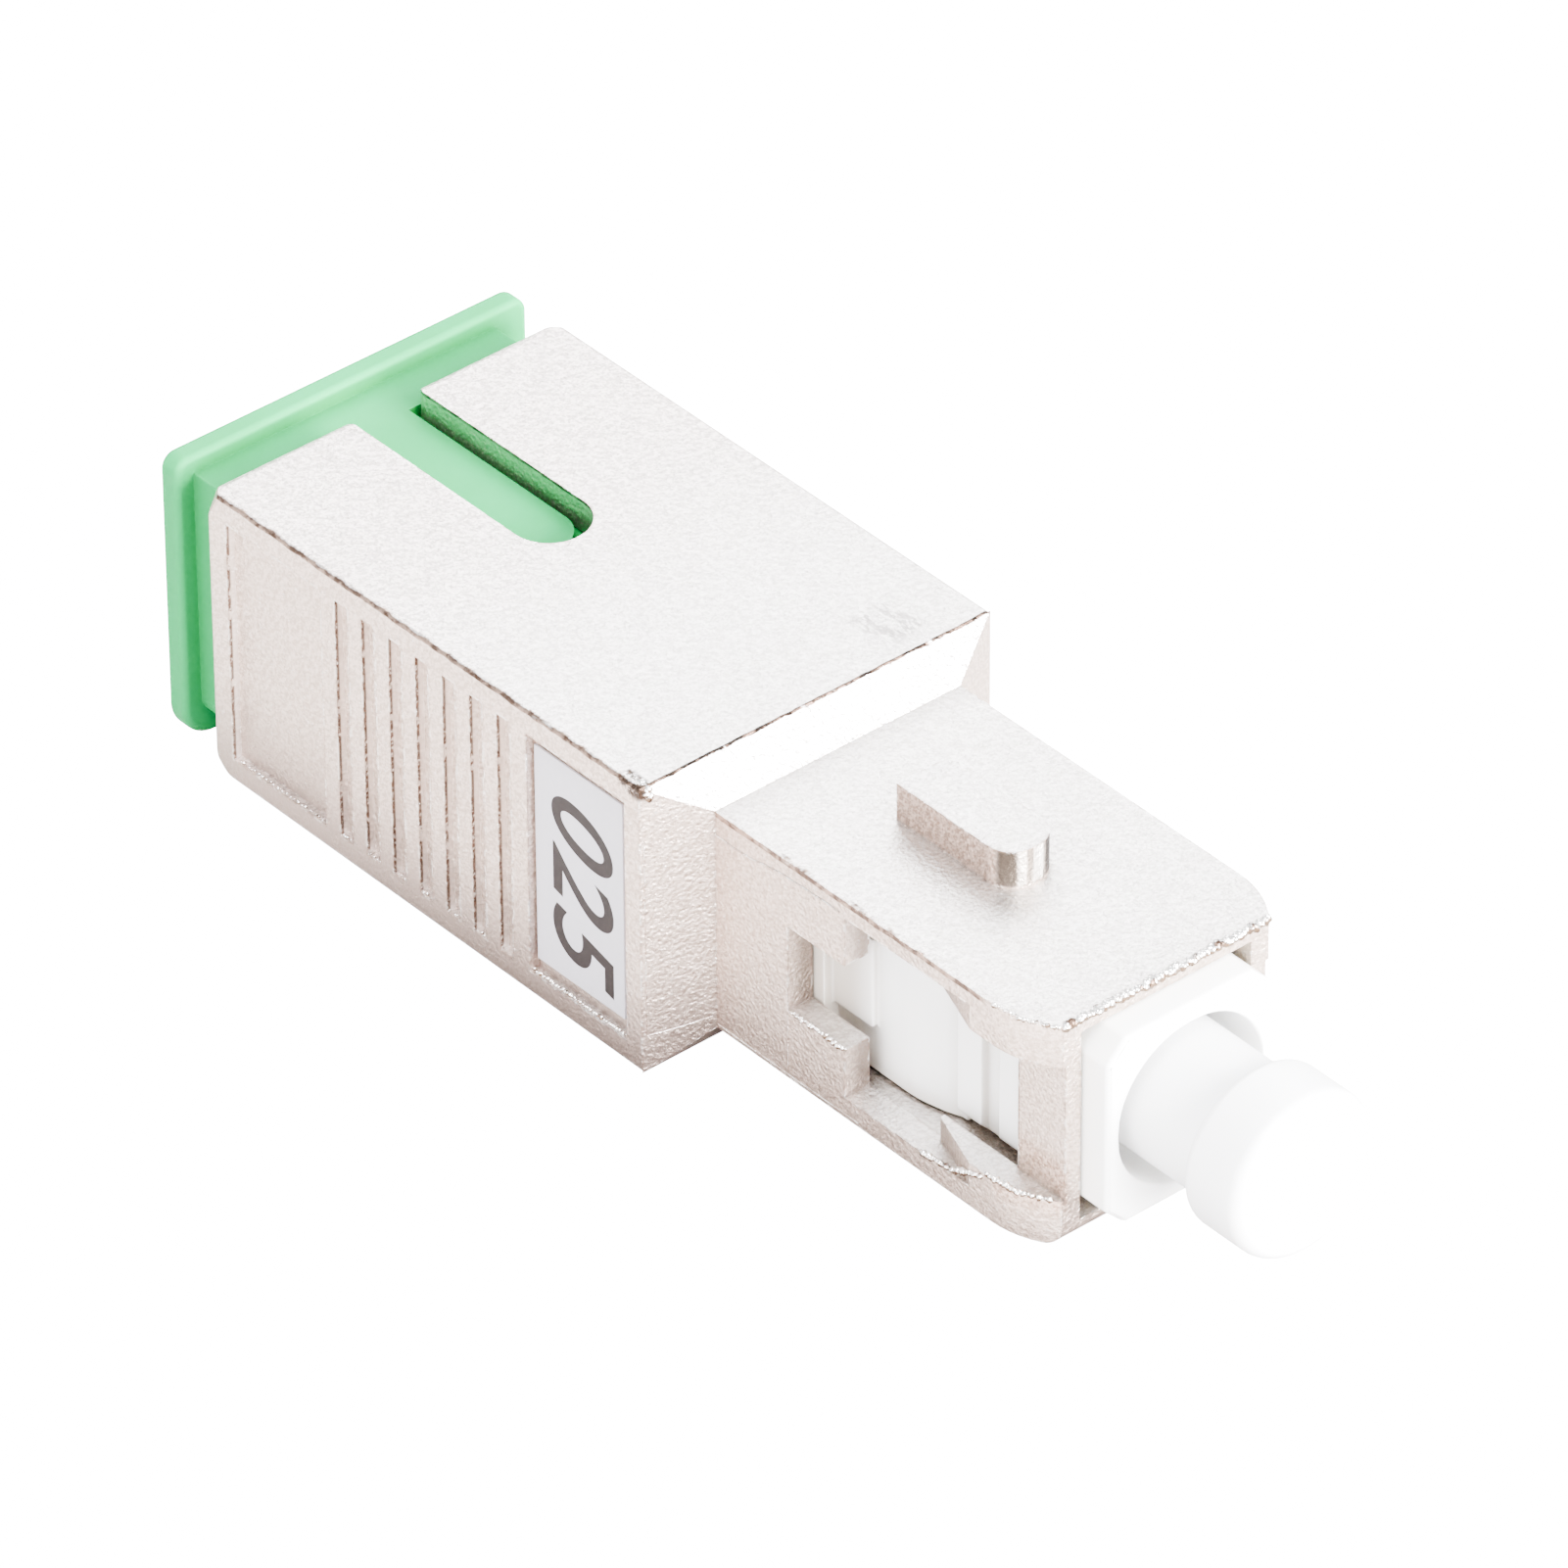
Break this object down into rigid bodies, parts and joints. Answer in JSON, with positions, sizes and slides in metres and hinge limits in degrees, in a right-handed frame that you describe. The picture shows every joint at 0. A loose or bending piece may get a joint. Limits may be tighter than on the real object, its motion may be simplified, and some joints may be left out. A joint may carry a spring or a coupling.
{
  "type": "hybrid fibre adapter",
  "caption": "Male to female adapter for square push-pull fibre plugs: die-cast metal housing with cams and key, white plug frame, sprung ferrule, dust plug and dust cap",
  "frame": {"origin": "on the optical axis, in the plane of the front top edge of the housing's large half, where the mating adapter's mouth stops", "axes": "+X leaves by the male end, +Z is the key and keyway side, +Y completes the right-handed frame"},
  "size_m": [0.0419, 0.0132, 0.0101],
  "materials": {
    "plated_casting": "bead-blasted nickel plate on a zinc casting",
    "label_card": "satin white label",
    "soft_green": "soft waxy polyethylene",
    "ivory_plastic": "moulded plastic",
    "white_plastic": "moulded plastic",
    "zirconia": "polished zirconia",
    "steel": "bright stainless steel",
    "nickel_brass": "nickel-plated brass",
    "silica": "clear silica fibre",
    "clear_white": "cloudy white soft plastic"
  },
  "bodies": {
    "housing": {"housing": "plated_casting", "label": "label_card"},
    "inner_unit": {"latch_housing": "ivory_plastic", "alignment_sleeve": "zirconia", "stop_ring": "steel", "plug_frame": "white_plastic", "spring": "steel"},
    "ferrule_unit": {"ferrule": "zirconia", "ferrule_collar": "nickel_brass", "fibre_stub": "silica"},
    "cap": {"dust_cap": "clear_white"},
    "port_plug": {"dust_plug": "soft_green"}
  },
  "joints": [
    {"name": "grip_slide", "type": "slide", "parent": "housing", "child": "inner_unit", "axis": [1, 0, 0], "range_m": [0, 0.0012]},
    {"name": "ferrule_spring", "type": "slide", "parent": "inner_unit", "child": "ferrule_unit", "axis": [-1, 0, 0], "range_m": [0, 0.001], "stiffness_N_per_m": 1500, "deforming": ["spring"]},
    {"name": "cap_pull", "type": "slide", "parent": "ferrule_unit", "child": "cap", "axis": [1, 0, 0], "range_m": [0, 0.009]},
    {"name": "plug_pull", "type": "slide", "parent": "housing", "child": "port_plug", "axis": [-1, 0, 0], "range_m": [0, 0.011]}
  ]
}
